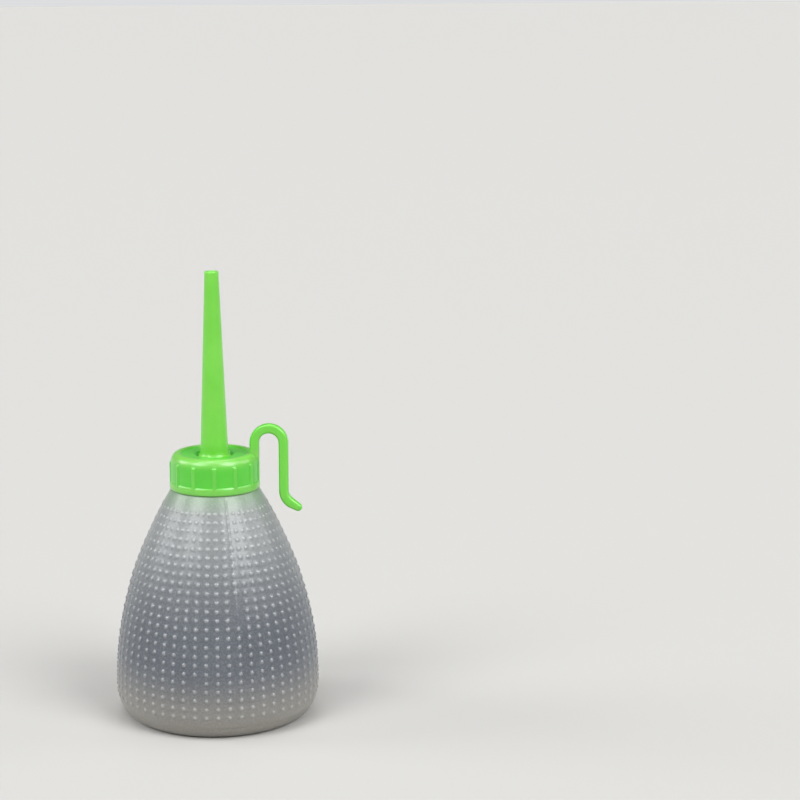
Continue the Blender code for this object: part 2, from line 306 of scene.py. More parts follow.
def rounded(corners, radius, steps=4):
    """The path through the corners, each inner corner cut by a smooth curve.

    A curve starts and ends a radius away from its corner."""
    points = [Vector(corners[0])]
    for before, corner, after in zip(corners, corners[1:], corners[2:]):
        corner = Vector(corner)
        a = corner + (Vector(before) - corner).normalized() * radius
        b = corner + (Vector(after) - corner).normalized() * radius
        for i in range(steps + 1):
            t = i / steps
            points.append(a * (1 - t) ** 2 + corner * 2 * t * (1 - t) + b * t**2)
    points.append(Vector(corners[-1]))
    return [tuple(p) for p in points]


def belly(height, inset=0.0):
    """A point of the bottle's side, a parabola from belly to shoulder, moved inwards by the inset."""
    reach = SHOULDER_HEIGHT - BELLY_HEIGHT
    narrowing = BELLY_RADIUS - SHOULDER_RADIUS
    rise = (height - BELLY_HEIGHT) / reach
    lean = math.atan(2 * narrowing * rise / reach)
    return (
        BELLY_RADIUS - narrowing * rise**2 - inset * math.cos(lean),
        height - inset * math.sin(lean),
    )


def spaced(distances, least):
    """The distances, without those that follow the last kept one by less than the least spacing."""
    kept = [distances[0]]
    for distance in distances[1:]:
        if distance - kept[-1] >= least:
            kept.append(distance)
    return kept


# ---------------------------------------------------------------- meshes


class Skin:
    """The vertices and faces of one closed skin, gathered ring by ring."""

    def __init__(self):
        self.points = []
        self.faces = []

    def add(self, points):
        """Adds points and returns their numbers."""
        first = len(self.points)
        self.points += [tuple(p) for p in points]
        return list(range(first, len(self.points)))

    def band(self, low, high):
        """Joins two rings of as many points by quads that face outwards when high lies above low."""
        count = len(low)
        for i in range(count):
            j = (i + 1) % count
            self.faces.append((low[i], low[j], high[j], high[i]))

    def fan(self, ring, centre):
        """Closes a ring with triangles to a centre point."""
        for i in range(len(ring)):
            self.faces.append((ring[i], ring[(i + 1) % len(ring)], centre))

    def build(self, name):
        """Makes an object of the points and faces, with all faces pointing out."""
        mesh = bpy.data.meshes.new(name)
        mesh.from_pydata(self.points, [], self.faces)
        mesh.validate()
        obj = bpy.data.objects.new(name, mesh)
        bpy.context.scene.collection.objects.link(obj)
        return outward(obj)


def outward(obj):
    """Makes all faces point out, and shades them smooth except across sharp edges."""
    bm = bmesh.new()
    bm.from_mesh(obj.data)
    bmesh.ops.recalc_face_normals(bm, faces=bm.faces)
    bm.to_mesh(obj.data)
    bm.free()
    obj.data.shade_smooth()
    obj.data.set_sharp_from_angle(angle=SHARP_EDGE)
    return obj


def turned(name, outline, segments, swell=None):
    """A turned piece from a closed outline of (radius, height).

    If given, swell(angles, radius, height) says how far each point of a ring moves out."""
    skin = Skin()
    angles = np.linspace(0, FULL_TURN, segments, endpoint=False)
    rings = []
    for radius, height in outline:
        radii = np.full(segments, radius)
        if swell:
            radii = radii + swell(angles, radius, height)
        heights = np.full(segments, height)
        rings.append(skin.add(np.column_stack([radii * np.cos(angles), radii * np.sin(angles), heights])))
    for low, high in zip(rings, rings[1:] + rings[:1]):
        skin.band(low, high)
    return skin.build(name)


def smooth_step(x):
    """Rises smoothly from 0 to 1 as x goes from 0 to 1."""
    x = np.clip(x, 0.0, 1.0)
    return x * x * (3 - 2 * x)


def thread_ridge(angles, height, start_height, start_angle, proud):
    """How far one turn of a helical ridge stands out at each angle of a ring at that height."""
    turn = np.mod(angles - start_angle, FULL_TURN) / FULL_TURN
    fullness = smooth_step(np.minimum(turn, 1 - turn) / THREAD_RUN_OUT)
    off = np.abs(height - (start_height + THREAD_PITCH * turn))
    width = THREAD_END_SHARE + (1 - THREAD_END_SHARE) * fullness
    crest = THREAD_CREST_HALF * width
    root = THREAD_ROOT_HALF * width
    return proud * fullness * smooth_step((root - off) / (root - crest))


# ---------------------------------------------------------------- bottle


def bottle_outline():
    """Outer skin from the base's centre up to the lip, then the inner skin down to the base's centre."""
    base_centre = (STANDING_RING_OUTER, BELLY_HEIGHT)
    base_radii = (BELLY_RADIUS - STANDING_RING_OUTER, BELLY_HEIGHT)
    dome = (0.6 * STANDING_RING_INNER, 0.75 * PUSH_UP)
    base = [
        (PUSH_UP_DISC, PUSH_UP),
        dome,
        (STANDING_RING_INNER - 1 * MM, 0.2 * PUSH_UP),
        (STANDING_RING_INNER, 0),
        (STANDING_RING_OUTER - STANDING_RING_BEVEL, 0),
    ]
    outer = rounded(base, BASE_ROUNDING, steps=5)
    for radius, z in arc(base_centre, base_radii, -90, 0, steps=160):
        steps_above = sum(1 - smooth_step((z - step) / MOULD_STEP_WIDTH) for step in MOULD_STEP_HEIGHTS)
        outer.append((radius - MOULD_STEP * steps_above, z))
    bend = SHOULDER_HEIGHT - SHOULDER_BEND
    outer += [belly(z) for z in np.linspace(BELLY_HEIGHT, bend, 420)[1:]]
    shoulder = [
        belly(bend),
        (SHOULDER_RADIUS, SHOULDER_HEIGHT + 0.15 * MM),
        (DECK_RADIUS, DECK_HEIGHT),
        (NECK_RADIUS, DECK_HEIGHT),
        (NECK_RADIUS, DECK_HEIGHT + 1.2 * MM),
    ]
    outer += rounded(shoulder, SHOULDER_ROUNDING, steps=5)[1:]

    lip_z = NECK_LIP_HEIGHT - NECK_LIP_ROUNDING
    lip_radii = (NECK_LIP_ROUNDING, NECK_LIP_ROUNDING)
    outer += line(outer[-1], (NECK_RADIUS, lip_z), 0.15 * MM)
    lip = arc((NECK_RADIUS - NECK_LIP_ROUNDING, lip_z), lip_radii, 0, 90, steps=5)
    lip += arc((NECK_BORE_RADIUS + NECK_LIP_ROUNDING, lip_z), lip_radii, 90, 180, steps=5)

    bore = [(NECK_BORE_RADIUS, NECK_LIP_HEIGHT - 1 * MM), (NECK_BORE_RADIUS, DECK_HEIGHT - WALL)]
    inner = path(bore, 1.5 * MM)
    inner += [belly(z, WALL) for z in np.linspace(SHOULDER_HEIGHT - 1.5 * MM, BELLY_HEIGHT, 40)]
    inner += arc(base_centre, (base_radii[0] - WALL, base_radii[1] - WALL), 0, -90, steps=16)[1:]
    inner += [(STANDING_RING_INNER, WALL), (dome[0], dome[1] + WALL), (PUSH_UP_DISC, PUSH_UP + WALL)]
    return np.array(outer + lip[1:] + inner)


class Side:
    """The bottle's skin as a surface over (angle, distance along the outline, height proud of it)."""

    def __init__(self, outline):
        self.outline = outline
        steps = np.diff(outline, axis=0)
        self.along = np.concatenate([[0], np.cumsum(np.hypot(steps[:, 0], steps[:, 1]))])
        ways = np.gradient(outline, self.along, axis=0)
        lengths = np.hypot(ways[:, 0], ways[:, 1])
        self.out = np.column_stack([ways[:, 1], -ways[:, 0]]) / lengths[:, None]

    def distance_at(self, height):
        """The distance along the outline where the outer side reaches this height."""
        first = int(np.argmax(self.outline[:, 0] >= STANDING_RING_OUTER))
        last = int(np.argmax(self.outline[:, 1] >= SHOULDER_HEIGHT))
        return float(np.interp(height, self.outline[first:last, 1], self.along[first:last]))

    def lip_distance(self):
        """The distance along the outline where the outer skin reaches the lip's top."""
        return self.along[int(np.argmax(self.outline[:, 1] >= NECK_LIP_HEIGHT - 1e-9))]

    def radius_at(self, distance):
        """The outline's radius at a distance along it."""
        return float(np.interp(distance, self.along, self.outline[:, 0]))

    def points(self, angles, distances, proud):
        """Points in space, one for each angle, distance and height proud of the surface."""
        angles, distances, proud = np.broadcast_arrays(angles, distances, proud)
        radius = np.interp(distances, self.along, self.outline[:, 0])
        height = np.interp(distances, self.along, self.outline[:, 1])
        out_r = np.interp(distances, self.along, self.out[:, 0])
        out_z = np.interp(distances, self.along, self.out[:, 1])
        radius = radius + proud * out_r
        return np.column_stack([radius * np.cos(angles), radius * np.sin(angles), height + proud * out_z])


def unevenness(angles, distances):
    """The slight waves of a blown wall."""
    size, along = LEVEL_WAVE
    level_wave = size * np.sin(along * distances + 2 * np.sin(angles))
    waves = 0.0
    for size, around, along, phase in WALL_WAVES:
        waves = waves + size * np.sin(around * angles + along * distances + phase)
    return (waves + level_wave) * MM


def seam_share(columns, rows):
    """How much of the parting line's ridge stands here, from 0 to 1.

    Columns count from column 0's centre, and rows from the foot of row 0."""
    off = np.abs(np.mod(columns - SEAM_COLUMN + DOT_COLUMNS / 4, DOT_COLUMNS / 2) - DOT_COLUMNS / 4)
    past_gap = smooth_step((rows - SEAM_GAP_ROWS[0]) / len(SEAM_GAP_ROWS))
    fullness = SEAM_LOW_SHARE + (1 - SEAM_LOW_SHARE) * past_gap
    return fullness * np.clip(1 - off / SEAM_HALF_WIDTH, 0, 1)


def dot_shape(row, column, cell_width):
    """A dot's radii across and along, how proud it is and how far it is shifted, as moulded."""
    radius = min(DOT_RADIUS, DOT_CELL_SHARE * cell_width) * random.uniform(*DOT_RADIUS_SPREAD)
    proud = DOT_PROUD * (radius / DOT_RADIUS) ** DOT_PROUD_POWER * random.uniform(*DOT_PROUD_SPREAD)
    shift = random.uniform(-DOT_SHIFT, DOT_SHIFT, 2)
    fade_start, fade_end = DOT_FADE_ROWS
    proud *= 1 - DOT_FADE * smooth_step((row - fade_start) / (fade_end - fade_start))
    if row >= DOT_ROWS - DOT_SHIFTED_ROWS:
        shift *= 2
    radii = np.array([radius, radius])
    on_seam = column in (SEAM_COLUMN, SEAM_COLUMN - DOT_COLUMNS // 2)
    rows_above_gap = row - max(SEAM_GAP_ROWS)
    if on_seam and row in SEAM_GAP_ROWS or (row, column) == DOT_LOST:
        proud = 0.0
    elif on_seam and rows_above_gap > 0:
        radii *= SEAM_DOT_STRETCH
        proud *= SEAM_DOT_NEAR_PROUD if rows_above_gap <= SEAM_NEAR_ROWS else SEAM_DOT_FAR_PROUD
    return radii, proud, shift


class BottleSkin(Skin):
    """The bottle's skin: rings round the base, rows of dots, then rings over the neck and down the inside.

    Places on the side are told by column, counted from column 0's centre, and by row, from row 0's foot."""

    def __init__(self):
        super().__init__()
        self.side = Side(bottle_outline())
        # the marks also carry the parting line's painted highlight
        self.marks = []  # for each point, how far up a dot it stands, from 0 to 1
        self.columns = np.arange(DOT_COLUMNS * DOT_SIDE_STEPS) / DOT_SIDE_STEPS - 0.5
        self.angles = DOT_COLUMN_ANGLE + self.columns * DOT_COLUMN_PITCH
        self.dots_start = self.side.distance_at(DOT_FIRST_HEIGHT) - DOT_ROW_PITCH / 2
        self.dots_end = self.dots_start + DOT_ROWS * DOT_ROW_PITCH
        self.waves_start = 0.9 * self.dots_start  # on the foot's curve, a little below the dots
        self.shoulder = self.side.distance_at(SHOULDER_HEIGHT - 0.5 * MM)
        self.lip = self.side.lip_distance()

    def mark(self, points, share):
        """Adds points that stand this far up a dot, and returns their numbers."""
        self.marks.extend(np.broadcast_to(share, len(points)))
        return self.add(points)

    def on_side(self, columns, row, distances, rise=0.0):
        """Points on the wavy side and its parting line, raised by so much, and the line's share there."""
        seam = seam_share(columns, row)
        angles = DOT_COLUMN_ANGLE + columns * DOT_COLUMN_PITCH
        proud = unevenness(angles, distances) + SEAM_PROUD * seam + rise
        return self.side.points(angles, distances, proud), seam

    def ring(self, distance):
        """Adds a ring at this distance along the outline."""
        if self.waves_start < distance < self.shoulder:
            row = (distance - self.dots_start) / DOT_ROW_PITCH
            points, seam = self.on_side(self.columns, row, distance)
            # the parting line's share, for its painted highlight
            return self.mark(points, SEAM_PAINTED_HIGHLIGHT * seam)
        points = self.side.points(self.angles, distance, 0.0)
        if self.shoulder <= distance < self.lip:
            proud = NECK_CREST_RADIUS - NECK_RADIUS
            ridge = thread_ridge(self.angles, float(points[0, 2]), NECK_THREAD_START, 0.0, proud)
            points[:, 0] += ridge * np.cos(self.angles)
            points[:, 1] += ridge * np.sin(self.angles)
        return self.mark(points, 0.0)

    def rings(self, distances, before):
        """Adds rings at these distances, each joined to the one before, and returns the last one."""
        for distance in distances:
            now = self.ring(distance)
            self.band(before, now)
            before = now
        return before

    def close(self, ring, height):
        """Closes a ring with a fan to a point on the axis."""
        self.fan(ring, self.mark([(0, 0, height)], 0.0)[0])

    def base(self):
        """Adds the base, from its centre out, and returns the ring under the first row of dots."""
        along = self.side.along
        distances = spaced(along[along < self.dots_start - 0.3 * MM], BASE_RING_SPACING)
        first = self.ring(distances[0])
        self.close(first[::-1], PUSH_UP)
        return self.rings(distances[1:] + [self.dots_start], first)

    def dot_row(self, row, below):
        """Adds a row of dots above a ring, and returns the ring above the row."""
        uprights = []  # points between the two rings, on the left edge of each cell
        for step in range(1, DOT_SIDE_STEPS):
            up = row + step / DOT_SIDE_STEPS
            points, _ = self.on_side(self.columns[::DOT_SIDE_STEPS], up, self.dots_start + up * DOT_ROW_PITCH)
            uprights.append(self.mark(points, 0.0))
        above = self.ring(self.dots_start + (row + 1) * DOT_ROW_PITCH)
        for cell in range(DOT_COLUMNS):
            steps = [(cell * DOT_SIDE_STEPS + i) % len(below) for i in range(DOT_SIDE_STEPS + 1)]
            edge = [below[i] for i in steps]
            edge += [upright[(cell + 1) % DOT_COLUMNS] for upright in uprights]
            edge += [above[i] for i in reversed(steps)]
            edge += [upright[cell] for upright in reversed(uprights)]
            self.dot(row, cell, edge)
        return above

    def dot(self, row, cell, edge):
        """Fills a cell with its dot. The cell's edge is a loop of points from its lower left corner."""
        middle = self.dots_start + (row + 0.5) * DOT_ROW_PITCH
        width = self.side.radius_at(middle) * DOT_COLUMN_PITCH
        column = cell if cell <= DOT_COLUMNS // 2 else cell - DOT_COLUMNS
        radii, proud, shift = dot_shape(row, column, width)

        def level(share, rise, around):
            """Adds the dot's points at these angles round it, at shares of its radii and of its height."""
            across = share * radii[0] * np.cos(around) + shift[0]
            along = share * radii[1] * np.sin(around) + shift[1]
            points, seam = self.on_side(cell + across / width, row + 0.5, middle + along, rise * proud)
            return self.mark(points, np.maximum(rise if proud else 0.0, SEAM_PAINTED_HIGHLIGHT * seam))

        corner = math.radians(-135)
        around = corner + FULL_TURN * np.arange(len(edge)) / len(edge)
        for share, rise in DOT_RINGS:
            inner = level(share, rise, around)
            self.band(edge, inner)
            edge = inner
        self.fan(edge, level(0.0, 1.0, np.zeros(1))[0])

    def neck_and_inside(self, below):
        """Adds the shoulder, the neck, the lip and the inside, up to a closed inner base."""
        along = self.side.along
        distances = spaced(along[along > self.dots_end + 0.2 * MM], NECK_RING_SPACING)
        self.close(self.rings(distances, below), PUSH_UP + WALL)


def make_bottle():
    """The bottle, whose points carry a "dot" attribute: how far up a dot they stand, for its paler colour,
    partly a painted highlight, and the parting line's share, for its painted highlight.
    """
    skin = BottleSkin()
    ring = skin.base()
    for row in range(DOT_ROWS):
        ring = skin.dot_row(row, ring)
    skin.neck_and_inside(ring)
    bottle = skin.build("dotted_bottle")
    dots = bottle.data.attributes.new("dot", "FLOAT", "POINT")
    dots.data.foreach_set("value", np.array(skin.marks, np.float32))
    return bottle


# ---------------------------------------------------------------- cap and hook


def cap_swell(angles, radius, height):
    """Ribs on the cap's skirt and the ridge of the thread in its bore."""
    if abs(radius - CAP_BORE_RADIUS) < 0.05 * MM:
        proud = CAP_BORE_RADIUS - NECK_RADIUS - THREAD_CLEARANCE
        return -thread_ridge(angles, height, CAP_THREAD_START, math.pi / 2, proud)
    on_skirt = RIB_FOOT <= height <= RIB_TOP
    if radius < CAP_RADIUS - RIB_REACH or not on_skirt:
        return np.zeros(len(angles))
    place = np.round(angles / FULL_TURN * RIB_PLACES)
    across = CAP_RADIUS * np.abs(np.sin(angles - place * FULL_TURN / RIB_PLACES))
    ribbed = np.mod(place, RIB_PLACES) != 0
    size = math.sqrt(min(1.0, max(0.0, (RIB_TOP - height) / RIB_END)))
    crown = 0.5 + 0.5 * np.cos(math.pi * np.clip(across / RIB_HALF_WIDTH, 0, 1))
    hidden = max(0.0, radius - CAP_RADIUS)  # the bead swallows the foot of each rib
    sunk = max(0.0, CAP_RADIUS - radius)
    rib = np.clip(crown * RIB_PROUD * size - hidden, 0, None) + crown * sunk * RIB_LIFT
    return np.where(ribbed, rib, 0.0)


def cap_outline():
    """The cap's section: bead, skirt, over the top into the recess, then down the hole and the bore."""
    bead_proud = BEAD_RADIUS - CAP_RADIUS
    bead_top = CAP_BOTTOM + BEAD_HEIGHT
    shoulder_centre = (CAP_RADIUS - CAP_SHOULDER[0], CAP_TOP - CAP_SHOULDER[1])
    dish_floor = CAP_TOP - DISH_DEPTH
    bead_centre = (CAP_RADIUS, BEAD_MIDDLE)
    outline = arc(bead_centre, (bead_proud, BEAD_MIDDLE - CAP_BOTTOM + BEAD_LIP), -80, 0, steps=8)
    outline += arc(bead_centre, (bead_proud, bead_top - BEAD_MIDDLE), 0, 70, steps=12)[1:]
    outline += path([(CAP_RADIUS, bead_top + 0.15 * MM), (CAP_RADIUS, shoulder_centre[1])], 0.3 * MM)
    outline += arc(shoulder_centre, CAP_SHOULDER, 0, 90, steps=26)[1:]
    top = [
        (shoulder_centre[0], CAP_TOP),
        (DISH_EDGE_RADIUS + DISH_EDGE_HALF, CAP_TOP),
        (DISH_EDGE_RADIUS - DISH_EDGE_HALF, dish_floor),
        (RECESS_TOP_RADIUS, dish_floor),
        (RECESS_FLOOR_RADIUS, RECESS_FLOOR),
        (CAP_HOLE_RADIUS, RECESS_FLOOR),
        (CAP_HOLE_RADIUS, PLATE_UNDERSIDE),
        (CAP_BORE_RADIUS, PLATE_UNDERSIDE),
        (CAP_BORE_RADIUS, PLATE_UNDERSIDE - 1 * MM),
    ]
    outline += rounded(top, CAP_ROUNDING)[1:]
    outline += path([outline[-1], (CAP_BORE_RADIUS, CAP_BOTTOM + CAP_BORE_BEVEL)], 0.14 * MM)[1:]
    outline += [(CAP_BORE_RADIUS + CAP_BORE_BEVEL, CAP_BOTTOM), (CAP_RADIUS - CAP_RIM_WIDTH, CAP_BOTTOM)]
    return outline


def hook_path():
    """The hook's centreline in the XZ plane: points, each with the rod's width there and depth along Y."""
    foot_x, foot_z = HOOK_FOOT
    arch_x = foot_x + HOOK_ARCH_RADIUS
    leg_x = arch_x + HOOK_ARCH_RADIUS
    curl_end = 180 + math.degrees(HOOK_CURL_ANGLE)
    rod = path([HOOK_FOOT, (foot_x, HOOK_ARCH_Z)], 0.5 * MM)
    rod += arc((arch_x, HOOK_ARCH_Z), (HOOK_ARCH_RADIUS,) * 2, 180, 0, steps=44)[1:]
    rod += line(rod[-1], (leg_x, HOOK_CURL_TOP_Z), 0.8 * MM)
    curl_centre = (leg_x + HOOK_CURL_RADIUS, HOOK_CURL_TOP_Z)
    rod += arc(curl_centre, (HOOK_CURL_RADIUS,) * 2, 180, curl_end, steps=16)[1:]
    end = Vector(rod[-1])
    way = Vector((math.sin(HOOK_CURL_ANGLE), -math.cos(HOOK_CURL_ANGLE)))

    rib_x = foot_x + (HOOK_WIDTH - HOOK_RIB_DEPTH) / 2
    points = [((rib_x, z), HOOK_RIB_DEPTH, HOOK_WIDTH) for z in (HOOK_RIB_FOOT_Z, HOOK_RIB_TOP_Z)]
    for x, z in rod:
        flare = 0.0
        if x < foot_x + 0.1 * MM:
            flare = HOOK_FOOT_FLARE * max(0.0, 1 - (z - foot_z) / HOOK_FLARE_HEIGHT) ** 2
        points.append(((x, z), HOOK_WIDTH, HOOK_WIDTH * (1 + flare)))
    tail = HOOK_WIDTH * HOOK_TAIL_TAPER
    for share in (0.25, 0.5, 0.75, 1.0):
        width = HOOK_WIDTH + (tail - HOOK_WIDTH) * share
        points.append((tuple(end + way * HOOK_TAIL * share), width, width))
    for angle in np.radians((15, 30, 45, 60, 72, 82)):  # the tail's round end
        width = tail * math.cos(angle)
        reach = HOOK_TAIL + math.sin(angle) * tail / 2
        points.append((tuple(end + way * reach), width, width))
    return points


def rod_section(width, depth, steps=6):
    """A rectangle with rounded corners, as (sideways, along Y) points."""
    corner = min(HOOK_CORNER, 0.45 * min(width, depth))
    section = []
    for quarter, (sx, sy) in enumerate(((1, 1), (-1, 1), (-1, -1), (1, -1))):
        centre = (sx * (width / 2 - corner), sy * (depth / 2 - corner))
        section += arc(centre, (corner, corner), 90 * quarter, 90 * quarter + 90, steps)
    return section


def make_hook():
    """The hook, with the rib that it runs down the skirt in."""
    points = hook_path()
    skin = Skin()
    rings = []
    for i, (centre, width, depth) in enumerate(points):
        before = Vector(points[max(i - 1, 0)][0])
        after = Vector(points[min(i + 1, len(points) - 1)][0])
        way = (after - before).normalized()
        side = Vector((way.y, -way.x))
        section = rod_section(width, depth)
        rings.append(skin.add([(centre[0] + side.x * a, b, centre[1] + side.y * a) for a, b in section]))
    for low, high in zip(rings, rings[1:]):
        skin.band(low, high)
    for ring, (centre, _, _) in ((rings[0], points[0]), (rings[-1], points[-1])):
        skin.fan(ring, skin.add([(centre[0], 0, centre[1])])[0])
    return skin.build("hook_rod")


def make_cap():
    """The cap and its hook, joined into one closed skin."""
    cap = turned("ribbed_cap_with_hook", cap_outline(), RIB_PLACES * RIB_PLACE_SEGMENTS, cap_swell)
    hook = make_hook()
    union = cap.modifiers.new("hook", "BOOLEAN")
    union.operation = "UNION"
    union.solver = "EXACT"
    union.object = hook
    joined = bpy.data.meshes.new_from_object(cap.evaluated_get(bpy.context.evaluated_depsgraph_get()))
    cap.modifiers.clear()
    cap.data = joined
    bpy.data.objects.remove(hook)
    return outward(cap)


# ---------------------------------------------------------------- spout and washer


def make_spout():
    """The hollow tapered spout, with the flare over the cap's plate and the flange under it."""
    flange_top = PLATE_UNDERSIDE - SPOUT_CLEARANCE
    flange_bottom = SPOUT_BOX[0].z
    flare_bottom = RECESS_FLOOR + SPOUT_CLEARANCE
    tip = [
        (SPOUT_TIP_BORE, SPOUT_TIP_HEIGHT - 1.5 * MM),
        (SPOUT_TIP_BORE, SPOUT_TIP_HEIGHT),
        (SPOUT_TIP_RADIUS, SPOUT_TIP_HEIGHT),
        (SPOUT_TIP_RADIUS + 0.05 * MM, SPOUT_TIP_HEIGHT - 2 * MM),
    ]
    cone = rounded(tip, SPOUT_TIP_ROUNDING, steps=5) + [(SPOUT_ROOT_RADIUS, SPOUT_ROOT_HEIGHT)]
    outer = path(cone, 1.2 * MM)
    flare_radii = (SPOUT_FLARE_RADIUS - SPOUT_ROOT_RADIUS, SPOUT_FLARE_HEIGHT)
    outer += arc((SPOUT_FLARE_RADIUS, SPOUT_ROOT_HEIGHT), flare_radii, 180, 255, steps=8)[1:]
    shank = [
        (SPOUT_FLARE_RADIUS - 0.1 * MM, flare_bottom + 0.5 * MM),
        (SPOUT_FLARE_RADIUS, flare_bottom),
        (SPOUT_SHANK_RADIUS, flare_bottom),
        (SPOUT_SHANK_RADIUS, flange_top),
        (FLANGE_RADIUS, flange_top),
        (FLANGE_RADIUS, flange_bottom),
        (SPOUT_ROOT_BORE, flange_bottom),
        (SPOUT_ROOT_BORE - 0.05 * MM, flange_bottom + 2 * MM),
    ]
    outer += rounded(shank, SPOUT_ROUNDING, steps=3)
    return turned("tapered_spout", outer, SPOUT_SEGMENTS)


def make_washer():
    """The flat ring with slightly rounded corners."""
    low, high = WASHER_BOX
    inner = WASHER_INNER_RADIUS
    start = ((inner + high.x) / 2, low.z)
    corners = [(high.x, low.z), (high.x, high.z), (inner, high.z), (inner, low.z)]
    outline = rounded([start] + corners + [start], WASHER_ROUNDING)[:-1]
    return turned("soft_washer", outline, SPOUT_SEGMENTS)


# ---------------------------------------------------------------- materials


class Nodes:
    """Short ways to add nodes to the tree of a material or a world.

    A value is another node's output, or a number, or a colour."""

    def __init__(self, tree):
        self.tree = tree

    def feed(self, node, values):
        """Puts values in a node's inputs, told by their names or numbers."""
        for name, value in values.items():
            self.put(value, node.inputs[name])

    def put(self, value, socket):
        """Links another node's output to the socket, or sets the socket to a number or colour."""
        if isinstance(value, bpy.types.NodeSocket):
            self.tree.links.new(value, socket)
        else:
            socket.default_value = value

    def node(self, kind, values, **settings):
        """Adds a node with these settings and with these values in its inputs."""
        made = self.tree.nodes.new(kind)
        for key, setting in settings.items():
            setattr(made, key, setting)
        self.feed(made, values)
        return made

    def noise(self, place, scale, detail, roughness=0.5):
        values = {"Vector": place, "Scale": scale, "Detail": detail, "Roughness": roughness}
        return self.node("ShaderNodeTexNoise", values).outputs["Fac"]

    def spread(self, value, low, high, to_low=0.0, to_high=1.0):
        """Maps a value smoothly from one range to another, clamped."""
        values = {"Value": value, "From Min": low, "From Max": high, "To Min": to_low, "To Max": to_high}
        return self.node("ShaderNodeMapRange", values, interpolation_type="SMOOTHSTEP").outputs["Result"]

    def blend(self, share, first, second):
        """Mixes two colours. Each is a triple or another node's output."""
        made = self.node("ShaderNodeMix", {"Factor": share}, data_type="RGBA")
        for name, colour in (("A", first), ("B", second)):
            socket = next(s for s in made.inputs if s.name == name and s.type == "RGBA")
            self.put((*colour, 1.0) if isinstance(colour, tuple) else colour, socket)
        return next(s for s in made.outputs if s.type == "RGBA")

    def maths(self, operation, first, second):
        return self.node("ShaderNodeMath", {0: first, 1: second}, operation=operation).outputs[0]

    def bump(self, height, strength, distance):
        values = {"Height": height, "Strength": strength, "Distance": distance}
        return self.node("ShaderNodeBump", values).outputs["Normal"]

    def place(self):
        """The place on the piece, in metres."""
        return self.node("ShaderNodeTexCoord", {}).outputs["Object"]

    def axes(self, vector):
        """The X, Y and Z of a vector."""
        return self.node("ShaderNodeSeparateXYZ", {0: vector}).outputs


def new_material(name):
    """A material, its Principled shader and its nodes."""
    material = bpy.data.materials.new(name)
    material.use_nodes = True
    tree = material.node_tree
    return material, tree.nodes["Principled BSDF"], Nodes(tree)


def milky_polythene():
    """The frosted, milky wall, with light and shade painted into its colour: a dark tone for dark
    surroundings seen through it, paler towards the neck, paler and warmer round the base, and a green glow
    under the cap. Each dot is paler, partly as a painted highlight, and smoother.
    """
    material, shader, nodes = new_material("milky_polythene_surface")
    place = nodes.place()
    height = nodes.axes(place)["Z"]
    dot = nodes.node("ShaderNodeAttribute", {}, attribute_name="dot").outputs["Fac"]
    cloud = nodes.noise(place, 45, 3)
    grain = nodes.noise(place, 900, 2)
    frost = nodes.noise(place, 1500, 4, 0.7)

    # painted shade: the dark base tone stands for dark surroundings seen through the wall; the cloud varies
    # it at random
    body = nodes.blend(nodes.spread(cloud, 0.3, 0.7), WALL_DEEP, WALL_LIGHT)
    # painted light: paler towards the neck for the brighter lit upper wall, and paler and warmer round the
    # base for the floor's reflected light
    body = nodes.blend(nodes.spread(height, *NECK_PAINTED_LIGHT_HEIGHTS), body, WALL_NECK_PAINTED_LIGHT)
    body = nodes.blend(nodes.spread(height, *BASE_PAINTED_BOUNCE_HEIGHTS), body, WALL_BASE_PAINTED_BOUNCE)
    # painted glow: green light from the cap, just under it
    cap_glow = nodes.spread(height, *CAP_GLOW_HEIGHTS, 0.0, CAP_GLOW_SHARE)
    body = nodes.blend(cap_glow, body, WALL_PAINTED_CAP_GLOW)
    # the dots are paler, partly for their thicker plastic and partly as a painted highlight; the parting line
    # gets a painted highlight through the same mark
    body = nodes.blend(nodes.spread(dot, 0.0, 0.9, 0.0, DOT_PALE_AND_HIGHLIGHT), body, WALL_DOT_PALE_AND_HIGHLIGHT)
    body = nodes.blend(nodes.spread(frost, 0.45, 0.62, 0.0, FROST_SHADE), body, WALL_FROST)
    rough = nodes.spread(grain, 0.3, 0.7, 0.32, 0.42)
    polish = nodes.spread(dot, 0.1, 0.5, 0.0, 0.10)
    nodes.feed(shader, {
        "Base Color": body,
        "Roughness": nodes.maths("SUBTRACT", rough, polish),
        "Normal": nodes.bump(grain, 0.25, 0.05 * MM),
        "Subsurface Weight": 0.25,
        "Subsurface Radius": (1.0, 0.95, 0.9),
        "Subsurface Scale": 1.2 * MM,
        "Coat Weight": 0.4,
        "Coat Roughness": 0.3,
        "IOR": 1.52,
    })
    return material


